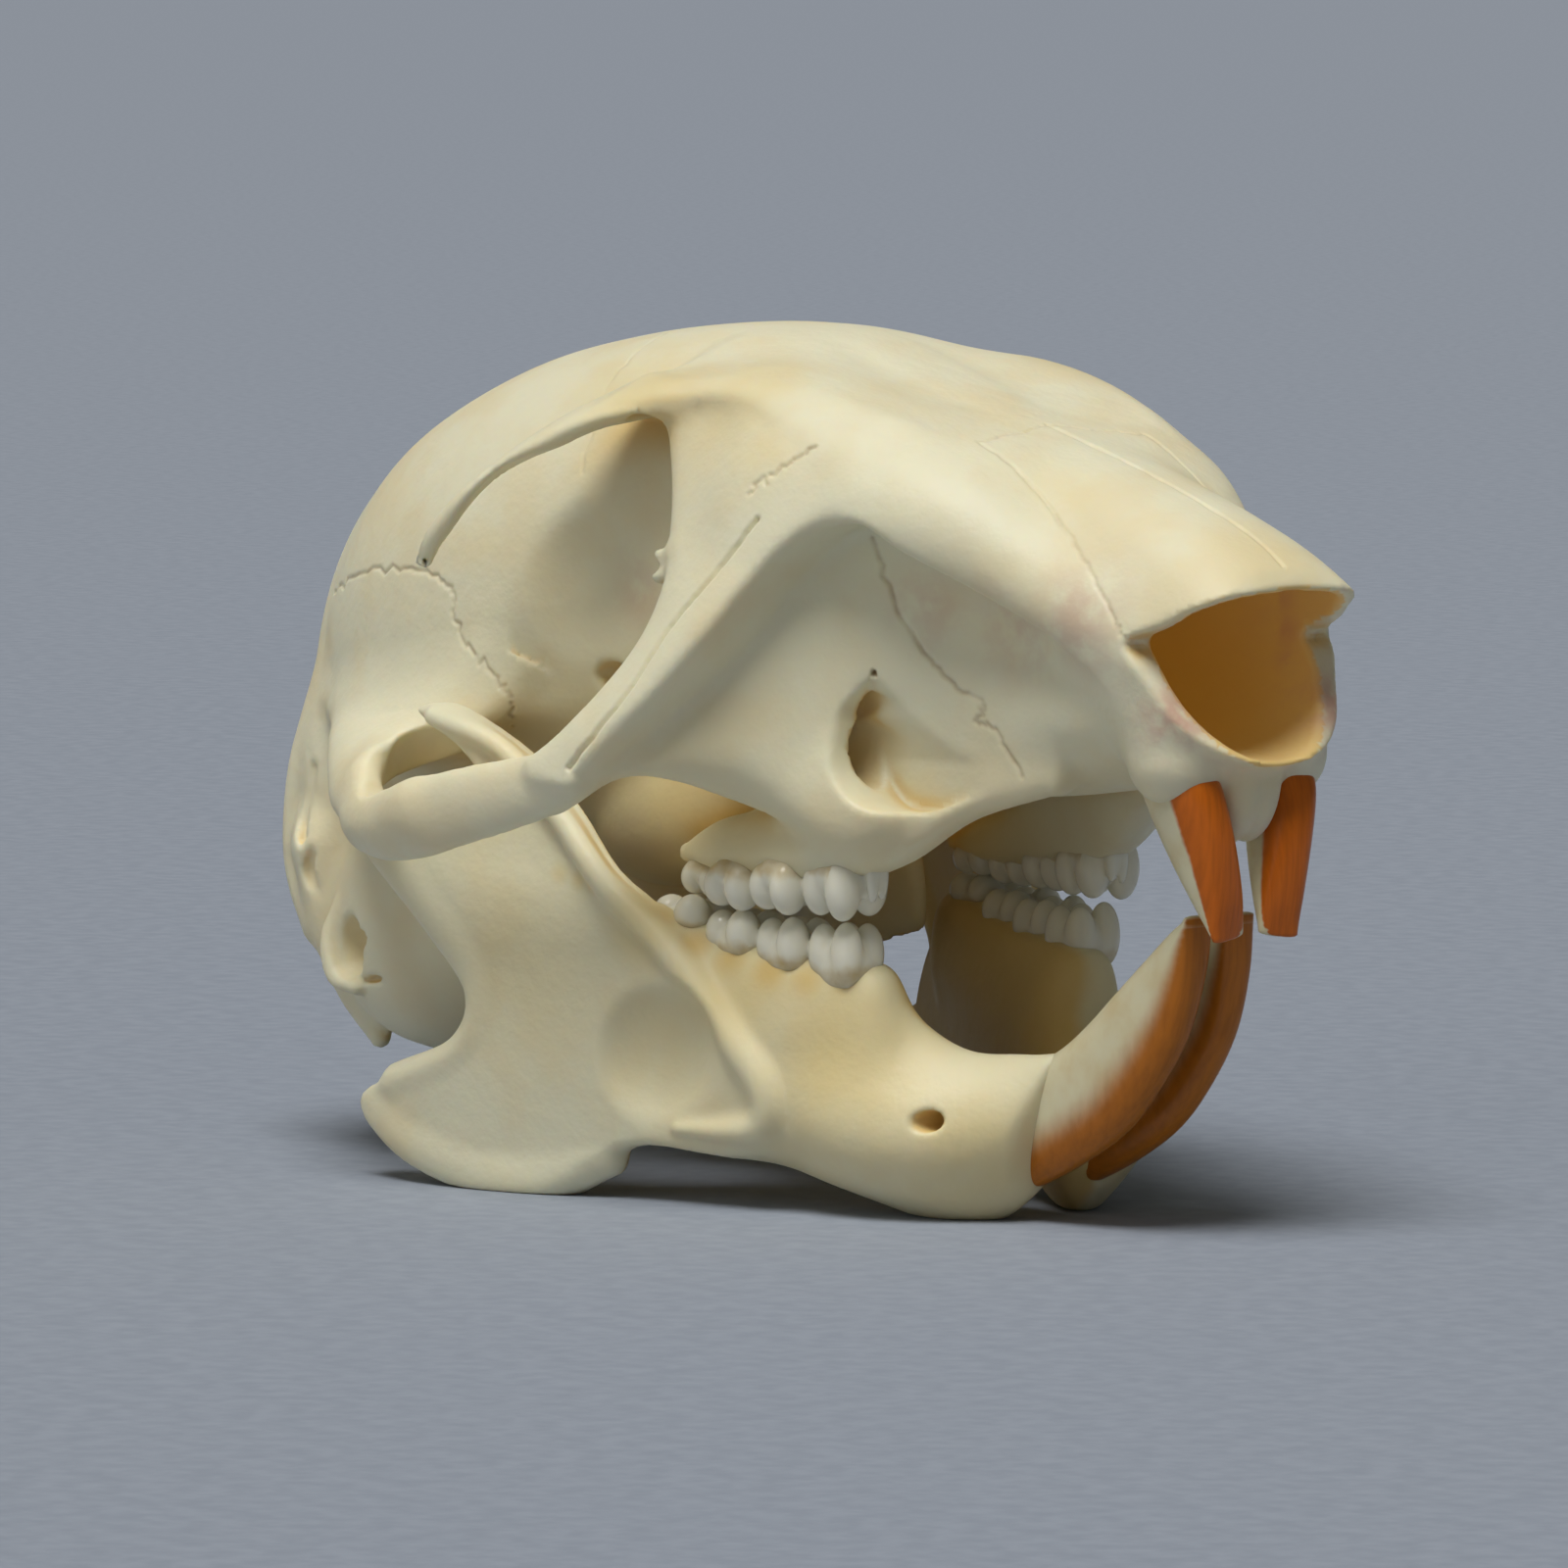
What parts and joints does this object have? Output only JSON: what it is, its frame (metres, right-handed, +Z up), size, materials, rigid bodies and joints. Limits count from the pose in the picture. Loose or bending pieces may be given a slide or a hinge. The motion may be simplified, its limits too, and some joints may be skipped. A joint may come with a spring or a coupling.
{
  "type": "squirrel skull",
  "caption": "Cleaned skull of a tree squirrel with its lower jaw, orange incisors and cheek teeth, resting on the jaw with the bite nearly closed.",
  "frame": {"origin": "on the floor, under the middle of the skull's bounding box", "axes": "+X forward to the nose, +Y to the animal's left, +Z up from the floor"},
  "size_m": [0.053, 0.0312, 0.0331],
  "materials": {
    "bone": "satin",
    "incisor": "satin"
  },
  "bodies": {
    "root": {"braincase": "bone", "midface": "bone", "snout": "bone", "zygomatic_arch_left": "bone", "zygomatic_arch_right": "bone", "auditory_bulla_left": "bone", "auditory_bulla_right": "bone", "mandible_left": "bone", "mandible_right": "bone", "upper_incisor_left": "incisor", "upper_incisor_right": "incisor", "lower_incisor_left": "incisor", "lower_incisor_right": "incisor"}
  },
  "joints": []
}
